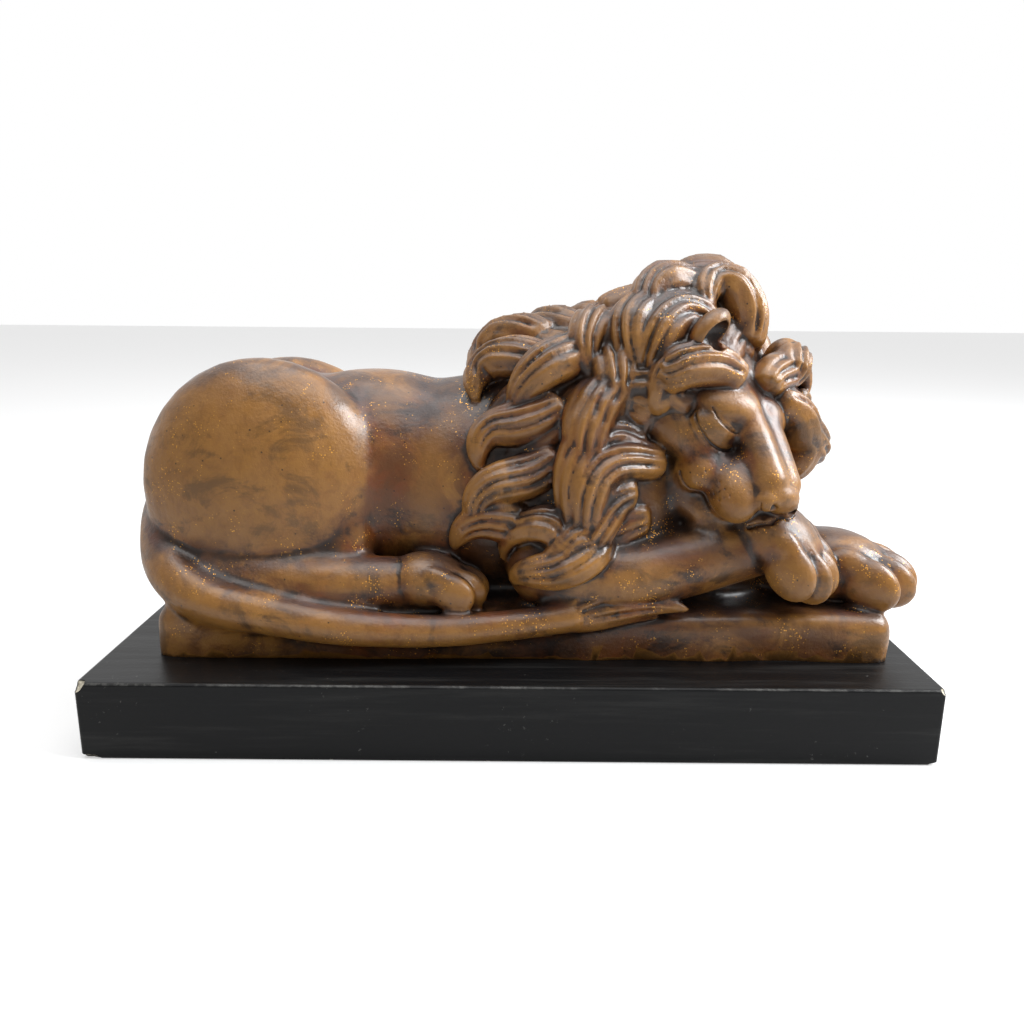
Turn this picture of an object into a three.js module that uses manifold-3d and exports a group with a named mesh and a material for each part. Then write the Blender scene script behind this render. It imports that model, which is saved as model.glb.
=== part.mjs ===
// A sleeping lion ornament: a lion cast in one piece with the ground it lies on, set on a black painted plinth.
// Millimetres, +Z up. The plinth stands on z = 0 around the Z axis. The lion lies along +X, with its head turned
// towards -Y and laid on its crossed forepaws.

import * as THREE from 'three';
import { triTable } from 'three/addons/objects/MarchingCubes.js';
import { SimplifyModifier } from 'three/addons/modifiers/SimplifyModifier.js';
import { RoundedBoxGeometry } from 'three/addons/geometries/RoundedBoxGeometry.js';
import { mergeVertices } from 'three/addons/utils/BufferGeometryUtils.js';
import Module from 'manifold-3d';

const PLINTH = { length: 220, depth: 100, height: 21, edge: 0.8 };
const GROUND = { left: -96, right: 103, front: -33, back: 33, height: 13 };
const CELL = 1.5;
const LION_TRIANGLES = 9400;
const MOST_TRIES = 12;
const DAB = 2.4;
const HEAD = { at: [ 47, - 9, 68 ], yaw: - 50, pitch: 30, roll: - 26 };
const FLATNESS = 1.25;

const v3 = ( a ) => new THREE.Vector3( ...a );
const radians = THREE.MathUtils.degToRad;
const mirrored = [ - 1, 1 ];

// A place in the lion: +X of the place looks forward, +Y to its left and +Z up. Angles are in degrees: yaw turns
// it from +X towards +Y, pitch tips its nose down and roll lifts its left side.
function place( at, yaw = 0, pitch = 0, roll = 0 ) {

	const turn = new THREE.Euler( radians( roll ), radians( pitch ), radians( yaw ), 'ZYX' );
	return new THREE.Matrix4().makeRotationFromEuler( turn ).setPosition( v3( at ) );

}

// A shape is a distance to its surface, negative inside, and the box that holds it.
function ellipsoid( at, radii, turn = [ 0, 0, 0 ], frame = new THREE.Matrix4() ) {

	const matrix = frame.clone().multiply( place( at, ...turn ) );
	const inverse = matrix.clone().invert();
	const [ rx, ry, rz ] = radii;
	const box = new THREE.Box3( new THREE.Vector3( - rx, - ry, - rz ), new THREE.Vector3( rx, ry, rz ) ).applyMatrix4( matrix );
	const p = new THREE.Vector3();

	function distance( point ) {

		p.copy( point ).applyMatrix4( inverse );
		const near = Math.hypot( p.x / rx, p.y / ry, p.z / rz );
		const slope = Math.hypot( p.x / rx ** 2, p.y / ry ** 2, p.z / rz ** 2 );
		return slope > 1e-9 ? near * ( near - 1 ) / slope : - Math.min( rx, ry, rz );

	}

	return { box, distance };

}

// A limb follows a smooth curve through its points. Each point is [ x, y, z, radius ].
function limb( points, frame = new THREE.Matrix4(), steps = 4 * ( points.length - 1 ) ) {

	const curve = new THREE.CatmullRomCurve3( points.map( ( q ) => v3( q ).applyMatrix4( frame ) ) );
	const radiusAt = ( t ) => {

		const at = t * ( points.length - 1 );
		const i = Math.min( Math.floor( at ), points.length - 2 );
		return THREE.MathUtils.lerp( points[ i ][ 3 ], points[ i + 1 ][ 3 ], at - i );

	};

	const line = Array.from( { length: steps + 1 }, ( _, i ) => curve.getPoint( i / steps ) );
	const radii = line.map( ( _, i ) => radiusAt( i / steps ) );
	return tapered( line, radii );

}

// A tube through the points of a line. Where it has normals, it is flatter along them.
function tapered( line, radii, normals ) {

	const box = new THREE.Box3();
	line.forEach( ( q, i ) => box.union( new THREE.Box3().setFromCenterAndSize( q, new THREE.Vector3().setScalar( 2 * radii[ i ] ) ) ) );
	const along = new THREE.Vector3();
	const offset = new THREE.Vector3();

	function distance( point ) {

		let least = Infinity;
		for ( let i = 1; i < line.length; i ++ ) {

			along.subVectors( line[ i ], line[ i - 1 ] );
			offset.subVectors( point, line[ i - 1 ] );
			const t = THREE.MathUtils.clamp( offset.dot( along ) / along.lengthSq(), 0, 1 );
			const radius = THREE.MathUtils.lerp( radii[ i - 1 ], radii[ i ], t );
			offset.addScaledVector( along, - t );
			if ( normals ) offset.addScaledVector( normals[ i ], ( FLATNESS - 1 ) * offset.dot( normals[ i ] ) );
			least = Math.min( least, offset.length() - radius );

		}

		return normals ? least / FLATNESS : least;

	}

	return { box, distance };

}

// A slab with rounded edges.
function slab( low, high, round ) {

	const box = new THREE.Box3( v3( low ), v3( high ) );
	const centre = box.getCenter( new THREE.Vector3() );
	const half = box.getSize( new THREE.Vector3() ).multiplyScalar( 0.5 ).subScalar( round );
	const q = new THREE.Vector3();

	function distance( point ) {

		q.subVectors( point, centre );
		q.set( Math.abs( q.x ) - half.x, Math.abs( q.y ) - half.y, Math.abs( q.z ) - half.z );
		const inside = Math.min( Math.max( q.x, q.y, q.z ), 0 );
		return q.clampScalar( 0, Infinity ).length() + inside - round;

	}

	return { box, distance };

}

const blendOf = ( a, b, blend ) => {

	const overlap = Math.max( blend - Math.abs( a - b ), 0 ) / blend;
	return Math.min( a, b ) - overlap * overlap * blend / 4;

};

// The corners of a cell, and the pairs of corners its edges join, in the order of the cubes' tables.
const CORNERS = [ [ 0, 0, 0 ], [ 1, 0, 0 ], [ 1, 1, 0 ], [ 0, 1, 0 ], [ 0, 0, 1 ], [ 1, 0, 1 ], [ 1, 1, 1 ], [ 0, 1, 1 ] ];
const EDGES = [ [ 0, 1 ], [ 1, 2 ], [ 2, 3 ], [ 3, 0 ], [ 4, 5 ], [ 5, 6 ], [ 6, 7 ], [ 7, 4 ], [ 0, 4 ], [ 1, 5 ], [ 2, 6 ], [ 3, 7 ] ];

// Clay holds the distances to its surface on a grid, so that shapes can be pressed on and blended one by one.
class Clay {

	constructor( low, high, cell ) {

		this.cell = cell;
		this.low = v3( low );
		this.count = v3( high ).sub( this.low ).divideScalar( cell ).ceil().addScalar( 1 );
		this.field = new Float32Array( this.count.x * this.count.y * this.count.z ).fill( 1000 );

	}

	index( x, y, z ) {

		return ( z * this.count.y + y ) * this.count.x + x;

	}

	press( shape, blend, join ) {

		const reach = blend + 3 * this.cell;
		const box = shape.box.clone().expandByScalar( reach ).translate( this.low.clone().negate() );
		const last = this.count.clone().subScalar( 1 );
		const from = box.min.divideScalar( this.cell ).floor().max( new THREE.Vector3() );
		const to = box.max.divideScalar( this.cell ).ceil().min( last );
		const p = new THREE.Vector3();
		for ( let z = from.z; z <= to.z; z ++ ) {

			for ( let y = from.y; y <= to.y; y ++ ) {

				for ( let x = from.x; x <= to.x; x ++ ) {

					p.set( x, y, z ).multiplyScalar( this.cell ).add( this.low );
					const i = this.index( x, y, z );
					this.field[ i ] = join( this.field[ i ], shape.distance( p ) );

				}

			}

		}

	}

	add( shape, blend = 1 ) {

		this.press( shape, blend, ( clay, d ) => blendOf( clay, d, blend ) );

	}

	carve( shape, blend = 1 ) {

		this.press( shape, blend, ( clay, d ) => - blendOf( - clay, d, blend ) );

	}

	// The skin of the clay: one point on each grid edge that crosses it.
	skin() {

		const positions = [];
		const faces = [];
		const pointOn = new Map();
		const point = ( x, y, z, edge ) => {

			const [ a, b ] = EDGES[ edge ].map( ( corner ) => CORNERS[ corner ].map( ( c, axis ) => c + [ x, y, z ][ axis ] ) );
			const [ ia, ib ] = [ this.index( ...a ), this.index( ...b ) ];
			const key = Math.min( ia, ib ) * this.field.length + Math.max( ia, ib );
			if ( ! pointOn.has( key ) ) {

				const t = THREE.MathUtils.clamp( this.field[ ia ] / ( this.field[ ia ] - this.field[ ib ] ), 0.03, 0.97 );
				const at = v3( a ).lerp( v3( b ), t ).multiplyScalar( this.cell ).add( this.low );
				pointOn.set( key, positions.length / 3 );
				positions.push( at.x, at.y, at.z );

			}

			return pointOn.get( key );

		};

		for ( let z = 0; z < this.count.z - 1; z ++ ) {

			for ( let y = 0; y < this.count.y - 1; y ++ ) {

				for ( let x = 0; x < this.count.x - 1; x ++ ) {

					const outside = ( sum, [ dx, dy, dz ], bit ) =>
						sum + ( this.field[ this.index( x + dx, y + dy, z + dz ) ] > 0 ? 1 << bit : 0 );
					const row = 16 * CORNERS.reduce( outside, 0 );
					for ( let i = row; triTable[ i ] >= 0; i ++ ) faces.push( point( x, y, z, triTable[ i ] ) );

				}

			}

		}

		return new THREE.BufferGeometry()
			.setAttribute( 'position', new THREE.Float32BufferAttribute( positions, 3 ) )
			.setIndex( largestPiece( faces, positions.length / 3 ) );

	}

	// The skin with fewer triangles. A gap so thin that the skin pinches shut there is filled with a dab of clay.
	async geometry( triangles ) {

		for ( let tries = 0; tries < MOST_TRIES; tries ++ ) {

			const skin = this.skin();
			const removed = Math.max( 0, Math.round( skin.attributes.position.count - triangles / 2 ) );
			const lighter = await new SimplifyModifier().modify( skin, removed );
			const pinches = pinchesOf( lighter );
			if ( pinches.length === 0 ) return lighter;
			for ( const at of pinches ) this.add( ellipsoid( at.toArray(), [ DAB, DAB, DAB ] ), DAB );

		}

		throw new Error( 'the skin stays pinched' );

	}

}

// The faces of the largest connected piece: no sealed bubble or loose crumb of clay is kept.
function largestPiece( faces, points ) {

	const parents = Array.from( { length: points }, ( _, i ) => i );
	const rootOf = ( i ) => {

		while ( parents[ i ] !== i ) i = parents[ i ] = parents[ parents[ i ] ];
		return i;

	};

	faces.forEach( ( point, i ) => {

		if ( i % 3 > 0 ) parents[ rootOf( point ) ] = rootOf( faces[ i - 1 ] );

	} );
	const sizes = new Map();
	for ( const point of faces ) sizes.set( rootOf( point ), ( sizes.get( rootOf( point ) ) ?? 0 ) + 1 );
	const [ largest ] = [ ...sizes ].reduce( ( a, b ) => b[ 1 ] > a[ 1 ] ? b : a );
	return faces.filter( ( point ) => rootOf( point ) === largest );

}

// The starts of edges that more than two faces share.
function pinchesOf( geometry ) {

	const { array } = geometry.index;
	const seen = new Set();
	const starts = [];
	array.forEach( ( start, i ) => {

		const end = array[ i % 3 === 2 ? i - 2 : i + 1 ];
		const edge = `${ start } ${ end }`;
		if ( seen.has( edge ) ) starts.push( start );
		seen.add( edge );

	} );
	return starts.map( ( start ) => new THREE.Vector3().fromBufferAttribute( geometry.attributes.position, start ) );

}

// The mane is laid on a mass of hair around the head and neck.
const headFrame = place( HEAD.at, HEAD.yaw, HEAD.pitch, HEAD.roll );
const MANE_MASS = [
	ellipsoid( [ 16, 2, 52 ], [ 34, 29, 37 ], [ 0, 10, 0 ] ),
	ellipsoid( [ 44, 1, 64 ], [ 33, 28, 30 ], [ 0, 0, 0 ] ),
	ellipsoid( [ 26, - 9, 38 ], [ 25, 22, 26 ], [ 0, 0, 0 ] )
];
const FACE_AHEAD = new THREE.Vector3( 16, 0, - 4 ).applyMatrix4( headFrame );

function maneDistance( point ) {

	return MANE_MASS.reduce( ( d, mass ) => blendOf( d, mass.distance( point ), 8 ), 1000 );

}

function maneNormal( point ) {

	const step = 0.5;
	const slope = ( axis ) => {

		const q = point.clone();
		q[ axis ] += step;
		const ahead = maneDistance( q );
		q[ axis ] -= 2 * step;
		return ahead - maneDistance( q );

	};

	return new THREE.Vector3( slope( 'x' ), slope( 'y' ), slope( 'z' ) ).normalize();

}

// Where a ray from inside the mane leaves it.
function maneRoot( from, ray ) {

	const point = from.clone();
	for ( let i = 0; i < 40; i ++ ) point.addScaledVector( ray, Math.max( - maneDistance( point ), 0.2 ) * 0.7 );
	return point;

}

// A lock of hair starts at a root, flows away from the face and down, and swings from side to side. It is flat
// against the mass, rises along its length over the roots of the next row, and tapers to its tip.
function lock( { root, length, width, away, swing } ) {

	const steps = 12;
	const line = [];
	const radii = [];
	const normals = [];
	const point = root.clone();
	for ( let i = 0; i <= steps; i ++ ) {

		const t = i / steps;
		const normal = maneNormal( point );
		line.push( point.clone().addScaledVector( normal, width * ( 0.05 + 0.24 * Math.sin( Math.PI * t ** 0.8 ) ) ) );
		radii.push( width * 0.5 * Math.sin( Math.PI * ( 0.22 + 0.7 * t ) ) ** 0.8 );
		normals.push( normal );
		const flow = point.clone().sub( FACE_AHEAD ).normalize().multiplyScalar( away * ( 1 - 0.8 * t ) );
		flow.z -= 0.1 + 1.1 * t;
		flow.x -= 0.25;
		flow.projectOnPlane( normal ).normalize();
		const side = normal.clone().cross( flow );
		flow.addScaledVector( side, swing * Math.sin( 2 * Math.PI * 0.85 * t ) ).normalize();
		point.addScaledVector( flow, length / steps );
		point.addScaledVector( maneNormal( point ), - maneDistance( point ) );

	}

	return tapered( line, radii, normals );

}

// Rows of locks from the nape to the face, around the head's own axis. Around is measured from the crown.
function crownLocks() {

	const rows = [
		{ back: 158, count: 6, length: 36, width: 15 },
		{ back: 130, count: 9, length: 38, width: 14 },
		{ back: 103, count: 11, length: 34, width: 13.5 },
		{ back: 78, count: 13, length: 24, width: 11 }
	];
	return rows.flatMap( ( row, i ) => Array.from( { length: row.count }, ( _, j ) => {

		const around = 2 * Math.PI * ( j + 0.5 * ( i % 2 ) ) / row.count;
		const back = radians( row.back );
		const out = Math.sin( back );
		const ray = new THREE.Vector3( Math.cos( back ), out * Math.sin( around ), out * Math.cos( around ) );
		return { ...row, root: maneRoot( v3( HEAD.at ), ray.transformDirection( headFrame ) ), away: 1, swing: 0.8 };

	} ) );

}

// Rows that hang down the neck and shoulders on both sides.
function neckLocks() {

	const rows = [
		{ height: 48, from: 2, to: 44, count: 5, length: 26, width: 11 },
		{ height: 64, from: - 6, to: 34, count: 5, length: 32, width: 12 }
	];
	return rows.flatMap( ( row ) => Array.from( { length: row.count * 2 }, ( _, j ) => {

		const side = mirrored[ j % 2 ];
		const x = THREE.MathUtils.lerp( row.from, row.to, Math.floor( j / 2 ) / ( row.count - 1 ) );
		const root = maneRoot( new THREE.Vector3( x, 0, row.height ), new THREE.Vector3( 0, side, 0 ) );
		return { ...row, root, away: 0.2, swing: - 0.6 * side };

	} ) );

}

function modelMane( clay ) {

	for ( const plan of [ ...neckLocks(), ...crownLocks() ] ) if ( plan.root.z > GROUND.height + 10 ) clay.add( lock( plan ), 0.8 );

}

function modelBody( clay ) {

	clay.add( ellipsoid( [ - 4, 3, 41 ], [ 50, 29, 33 ] ), 4 );
	clay.add( ellipsoid( [ - 40, 4, 42 ], [ 42, 26, 33 ] ), 8 );
	clay.add( ellipsoid( [ - 71, 4, 42 ], [ 33, 28, 35 ], [ 0, - 6, 0 ] ), 8 );
	for ( const mass of MANE_MASS ) clay.add( mass, 8 );

}

function modelHindLegs( clay ) {

	for ( const side of mirrored ) {

		const y = ( d ) => 3 + side * d;
		clay.add( ellipsoid( [ - 70, y( 17 ), 40 ], [ 35, 15, 34 ], [ 0, - 14, 0 ] ), 4 );
		clay.add( ellipsoid( [ - 50, y( 20 ), 48 ], [ 14, 12, 25 ], [ 0, 12, 0 ] ), 4 );
		clay.add( limb( [ [ - 44, y( 22 ), 46, 9 ], [ - 56, y( 25 ), 30, 8 ], [ - 74, y( 26 ), 20, 8 ] ] ), 2.5 );
		clay.add( limb( [ [ - 80, y( 25 ), 20, 9 ], [ - 50, y( 29 ), 19, 8.5 ], [ - 22, y( 29 ), 19.5, 7 ] ] ), 2.5 );
		paw( clay, place( [ - 16, y( 29 ), 20 ], side * 6, 4, 0 ), 0.95 );

	}

}

// A paw looks along the +X of its place, with four toes in an arc.
function paw( clay, frame, size = 1 ) {

	const s = size;
	clay.add( ellipsoid( [ - 3 * s, 0, 0 ], [ 12 * s, 9.5 * s, 8 * s ], [ 0, 0, 0 ], frame ), 3 );
	[ - 1.5, - 0.5, 0.5, 1.5 ].forEach( ( toe ) => {

		const across = 4.7 * s * toe;
		const ahead = s * ( 8.5 - 1.5 * toe * toe );
		clay.add( ellipsoid( [ ahead, across, - 1 * s ], [ 7 * s, 3 * s, 5.6 * s ], [ 4 * toe, 16, 0 ], frame ), 0.6 );

	} );

}

function modelForelegs( clay ) {

	clay.add( ellipsoid( [ 50, - 4, 24 ], [ 30, 20, 24 ] ), 4 );
	clay.add( limb( [ [ 22, 20, 24, 13 ], [ 50, 12, 20, 11 ], [ 82, - 7, 22, 9.5 ] ] ), 4 );
	paw( clay, place( [ 93, - 14, 22 ], - 30, 4, 0 ), 1.15 );
	clay.add( limb( [ [ 4, - 24, 24, 12 ], [ 26, - 27, 22, 10.5 ], [ 46, - 25, 26, 9.5 ], [ 62, - 24, 33, 9 ] ] ), 4 );
	paw( clay, place( [ 70, - 27, 34 ], - 34, 34, 0 ), 1.1 );

}

function modelHead( clay ) {

	const on = ( at, radii, turn, blend ) => clay.add( ellipsoid( at, radii, turn, headFrame ), blend );
	const off = ( at, radii, turn, blend ) => clay.carve( ellipsoid( at, radii, turn, headFrame ), blend );
	on( [ 0, 0, 0 ], [ 23, 20, 21 ], [ 0, 0, 0 ], 3 );
	on( [ 9, 0, 11 ], [ 14, 13, 9 ], [ 0, 16, 0 ], 4 );
	clay.add( limb( [ [ 12, 0, 11, 8 ], [ 25, 0, 6.5, 7.6 ], [ 36, 0, 0.5, 7.2 ] ], headFrame ), 3 );
	for ( const side of mirrored ) {

		on( [ 7, 13.5 * side, - 7 ], [ 14, 9, 13 ], [ 0, 0, 0 ], 4 );
		on( [ 30, 6.6 * side, - 6.5 ], [ 11, 8.8, 8.4 ], [ 10 * side, 10, 0 ], 1.5 );
		on( [ 16, 9.5 * side, 11 ], [ 6.5, 8, 4.5 ], [ 0, 20, - 24 * side ], 2 );
		off( [ 22, 10.5 * side, 4.5 ], [ 5, 6, 3.8 ], [ 0, 0, 0 ], 2 );
		on( [ 18.4, 11 * side, 3.2 ], [ 4.6, 6.2, 4 ], [ 0, 0, - 14 * side ], 0.6 );
		on( [ - 5, 20 * side, 19 ], [ 4.5, 8, 9 ], [ 20 * side, 0, - 35 * side ], 1 );
		off( [ - 1, 20.5 * side, 19.5 ], [ 4, 5, 6.2 ], [ 20 * side, 0, - 35 * side ], 1 );

	}

	on( [ 39.5, 0, 0.5 ], [ 4.5, 7.5, 5 ], [ 0, 30, 0 ], 0.8 );
	on( [ 26, 0, - 17 ], [ 10, 8, 6 ], [ 0, 0, 0 ], 1.5 );

}

function modelTail( clay ) {

	clay.add( limb( [ [ - 97, 4, 42, 7 ], [ - 103, - 10, 28, 6 ], [ - 92, - 31, 17, 5.5 ], [ - 62, - 36, 12, 5 ],
		[ - 28, - 36.5, 9.5, 4.6 ], [ 2, - 35, 11, 4.2 ], [ 16, - 34, 13, 4.6 ] ] ), 2 );
	[ - 1, 0, 1 ].forEach( ( strand ) => {

		clay.add( limb( [ [ 10, - 34, 12.5, 3.5 ], [ 24, - 35, 13 + 2.5 * strand, 4.6 ], [ 38, - 35, 12 + 3 * strand, 3.4 ],
			[ 48 - 3 * Math.abs( strand ), - 34, 13 + 2 * strand, 1 ] ] ), 1 );

	} );

}

function modelGround( clay ) {

	const { left, right, front, back, height } = GROUND;
	clay.add( slab( [ left, front, - 6 ], [ right, back, height ], 3 ), 3 );

}

async function lionGeometry() {

	const clay = new Clay( [ - 112, - 46, - 12 ], [ 114, 46, 112 ], CELL );
	modelGround( clay );
	modelBody( clay );
	modelHindLegs( clay );
	modelTail( clay );
	modelForelegs( clay );
	modelMane( clay );
	modelHead( clay );
	const skin = await clay.geometry( LION_TRIANGLES );
	return standOn( skin );

}

// Cuts the casting flat underneath.
async function standOn( geometry ) {

	const wasm = await Module();
	wasm.setup();
	const solid = ( shape ) => {

		for ( const name of [ 'normal', 'uv' ] ) if ( shape.attributes[ name ] ) shape.deleteAttribute( name );
		const merged = mergeVertices( shape, 1e-4 );
		return new wasm.Manifold( new wasm.Mesh( {
			numProp: 3,
			vertProperties: merged.attributes.position.array,
			triVerts: new Uint32Array( merged.index.array )
		} ) );

	};

	const room = new THREE.BoxGeometry( 400, 200, 200 ).translate( 0, 0, 100 );
	const mesh = solid( geometry ).intersect( solid( room ) ).getMesh();
	return new THREE.BufferGeometry()
		.setAttribute( 'position', new THREE.BufferAttribute( mesh.vertProperties, 3 ) )
		.setIndex( new THREE.BufferAttribute( mesh.triVerts, 1 ) );

}

const castMaterial = new THREE.MeshStandardMaterial( { color: 0x7a4c1c, roughness: 0.42, metalness: 0.25 } );
const plinthMaterial = new THREE.MeshStandardMaterial( { color: 0x1c1c1b, roughness: 0.35, metalness: 0 } );

const lion = new THREE.Mesh( await lionGeometry(), castMaterial );
lion.name = 'lion';
lion.position.z = PLINTH.height;

const plinth = new THREE.Mesh( new RoundedBoxGeometry( PLINTH.length, PLINTH.depth, PLINTH.height, 1, PLINTH.edge ), plinthMaterial );
plinth.name = 'plinth';
plinth.position.z = PLINTH.height / 2;

const ornament = new THREE.Group();
ornament.add( plinth, lion );

export default ornament;
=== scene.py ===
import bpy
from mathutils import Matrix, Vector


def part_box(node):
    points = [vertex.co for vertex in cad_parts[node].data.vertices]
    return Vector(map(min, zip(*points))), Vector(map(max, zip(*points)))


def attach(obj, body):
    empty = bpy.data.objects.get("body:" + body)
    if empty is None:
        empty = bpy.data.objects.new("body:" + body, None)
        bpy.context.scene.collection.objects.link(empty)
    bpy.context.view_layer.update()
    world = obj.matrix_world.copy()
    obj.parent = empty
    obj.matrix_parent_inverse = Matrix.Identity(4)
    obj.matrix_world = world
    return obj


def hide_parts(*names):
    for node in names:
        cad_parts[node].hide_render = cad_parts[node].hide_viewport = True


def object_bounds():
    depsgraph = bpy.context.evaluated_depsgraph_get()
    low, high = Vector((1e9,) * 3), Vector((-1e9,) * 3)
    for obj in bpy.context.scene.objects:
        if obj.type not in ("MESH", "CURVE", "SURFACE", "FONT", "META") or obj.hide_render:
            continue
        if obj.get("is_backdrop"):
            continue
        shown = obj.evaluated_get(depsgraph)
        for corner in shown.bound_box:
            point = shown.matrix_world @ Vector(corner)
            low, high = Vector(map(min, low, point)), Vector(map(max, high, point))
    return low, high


bl_info = {
    "name": "Sleeping lion ornament",
    "version": (1, 0, 0),
    "blender": (4, 5, 0),
    "location": "3D View > Sidebar > Lion",
    "description": "Models a cast sleeping lion with a worn golden patina on its black plinth",
    "category": "Add Mesh",
}

import math

import bpy
import numpy as np
from bpy.props import FloatProperty, FloatVectorProperty, IntProperty, PointerProperty
from mathutils import Euler, Matrix, Vector
from mathutils.bvhtree import BVHTree

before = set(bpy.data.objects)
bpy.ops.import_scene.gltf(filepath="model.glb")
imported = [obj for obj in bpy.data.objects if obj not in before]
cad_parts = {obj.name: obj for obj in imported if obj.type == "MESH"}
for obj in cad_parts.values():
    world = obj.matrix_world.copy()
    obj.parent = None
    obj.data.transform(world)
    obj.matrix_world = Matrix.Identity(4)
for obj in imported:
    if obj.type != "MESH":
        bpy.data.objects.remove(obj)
CAD_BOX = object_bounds()

MM = 0.001
PLINTH_LOW, PLINTH_HIGH = (Vector(corner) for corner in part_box("plinth"))
GROUND_PLACE = Matrix.Translation((0, 0, PLINTH_HIGH.z))
SIDES = (-1, 1)


def linear(colour):
    """An sRGB hex colour as the linear values that a shader takes."""
    channels = [int(colour[i : i + 2], 16) / 255 for i in (1, 3, 5)]
    return [c / 12.92 if c <= 0.04045 else ((c + 0.055) / 1.055) ** 2.4 for c in channels]


class LionSizes(bpy.types.PropertyGroup):
    head_at: FloatVectorProperty(
        name="Head",
        description="Middle of the skull, above the plinth's top",
        default=(0.052, -0.005, 0.0665),
        subtype="XYZ",
        unit="LENGTH",
    )
    head_yaw: FloatProperty(
        name="Head yaw", description="Turn of the face from +X", default=math.radians(-60), subtype="ANGLE"
    )
    head_pitch: FloatProperty(
        name="Head pitch", description="How far the nose hangs down", default=math.radians(33), subtype="ANGLE"
    )
    head_roll: FloatProperty(
        name="Head roll", description="Lean of the crown", default=math.radians(-18), subtype="ANGLE"
    )
    grain: FloatProperty(
        name="Grain", description="Size of the finest modelled detail", default=0.0005, unit="LENGTH"
    )
    triangles: IntProperty(
        name="Triangles", description="The most that the finished casting may have", default=194000, min=10000
    )


class PlinthSizes(bpy.types.PropertyGroup):
    edge: FloatProperty(name="Edge", description="Rounding of the block's edges", default=0.0008, unit="LENGTH")
    chip: FloatProperty(name="Chip", description="Reach of the largest chip", default=0.0026, unit="LENGTH")
    rubbed: FloatProperty(
        name="Rubbed band", description="Width of the worn paint along the edges", default=0.0012, unit="LENGTH"
    )


def colour_setting(name, description, colour):
    return FloatVectorProperty(
        name=name, description=description, default=linear(colour), size=3, min=0, max=1, subtype="COLOR"
    )


class Finishes(bpy.types.PropertyGroup):
    # Ochre is also laid on the ridges, partly as wear and partly as a painted highlight.
    ochre: colour_setting("Ochre", "Bronze paint where it is clean", "#96682F")
    brown: colour_setting("Brown", "Glaze over the bronze paint", "#5C3719")
    rust: colour_setting("Red brown", "Warm patches of the glaze", "#6E3A15")
    # Besides the glaze, umber is laid in the grooves and hollows as painted shade.
    umber: colour_setting("Umber", "Dark glaze left in the hollows", "#1B110D")
    # Painted sheen: a greyish cast laid on what faces up, standing in for the light reflected from above.
    top_sheen: colour_setting("Bloom", "Greyish stain on what faces up", "#3A2C2D")
    gold: colour_setting("Gold", "Metal flecks in the paint", "#F2B04C")
    black: colour_setting("Black", "Paint of the plinth", "#0D0D0E")
    scuff: colour_setting("Scuff", "Rubbed paint along the edges", "#5E5D5A")
    filler: colour_setting("Filler", "Pale ground under the chipped paint", "#C9C1AE")
    floor: colour_setting("Floor", "The stage", "#B8B8B8")


def pick(*pieces):
    """Selects the pieces alone, the last one active."""
    bpy.ops.object.select_all(action="DESELECT")
    for piece in pieces:
        piece.select_set(True)
    bpy.context.view_layer.objects.active = pieces[-1]


def apply_modifier(piece, kind, **settings):
    pick(piece)
    modifier = piece.modifiers.new(kind.title(), kind)
    for name, value in settings.items():
        setattr(modifier, name, value)
    bpy.ops.object.modifier_apply(modifier=modifier.name)


def place(at, yaw=0.0, pitch=0.0, roll=0.0):
    """A place in millimetres above the plinth: its +X looks forward, +Y left and +Z up. Angles are in degrees."""
    turn = Euler((math.radians(roll), math.radians(pitch), math.radians(yaw)), "XYZ")
    return Matrix.Translation(Vector(at)) @ turn.to_matrix().to_4x4()


def settle(piece, matrix):
    """Puts a piece modelled in millimetres at its place in metres, in its mesh."""
    piece.data.transform(GROUND_PLACE @ Matrix.Scale(MM, 4) @ matrix)
    return piece


def ball(at, radii, turn=(0, 0, 0), within=Matrix()):
    """A lump of clay: radii along its own axes, turn as roll, pitch and yaw."""
    bpy.ops.mesh.primitive_uv_sphere_add(segments=32, ring_count=16)
    roll, pitch, yaw = turn
    return settle(bpy.context.object, within @ place(at, yaw, pitch, roll) @ Matrix.Diagonal((*radii, 1)))


def limb(points, within=Matrix()):
    """A rounded limb through its points, each x, y, z and radius."""
    bpy.ops.curve.primitive_bezier_curve_add()
    piece = bpy.context.object
    curve = piece.data
    curve.bevel_depth = 1
    curve.bevel_resolution = 6
    curve.resolution_u = 8
    curve.use_fill_caps = True
    spline = curve.splines[0]
    spline.bezier_points.add(len(points) - 2)
    for knot, (x, y, z, radius) in zip(spline.bezier_points, points):
        knot.co = (x, y, z)
        knot.radius = radius
        knot.handle_left_type = knot.handle_right_type = "AUTO"
    pick(piece)
    bpy.ops.object.convert(target="MESH")
    settle(piece, within)
    x, y, z, radius = points[0]
    ends = [ball((x, y, z), (radius,) * 3, within=within)]
    x, y, z, radius = points[-1]
    ends.append(ball((x, y, z), (radius,) * 3, within=within))
    pick(*ends, piece)
    bpy.ops.object.join()
    return piece


def press(clay, pieces):
    """Joins pieces onto the clay."""
    pick(*pieces, clay)
    bpy.ops.object.join()


def knead(clay, grain, rounds):
    """Melts the clay's pieces into one skin and rubs their seams soft."""
    apply_modifier(clay, "REMESH", mode="VOXEL", voxel_size=grain * MM)
    if rounds:
        apply_modifier(clay, "SMOOTH", factor=0.5, iterations=rounds)


def carve(clay, pieces):
    """Cuts pieces out of the clay."""
    pick(*pieces)
    bpy.ops.object.join()
    tool = bpy.context.object
    apply_modifier(tool, "REMESH", mode="VOXEL", voxel_size=0.4 * MM)
    apply_modifier(clay, "BOOLEAN", operation="DIFFERENCE", object=tool, solver="MANIFOLD")
    pick(tool)
    bpy.ops.object.delete()


def head_place(sizes):
    turns = (math.degrees(angle) for angle in (sizes.head_yaw, sizes.head_pitch, sizes.head_roll))
    return place(Vector(sizes.head_at) / MM, *turns)


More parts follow.
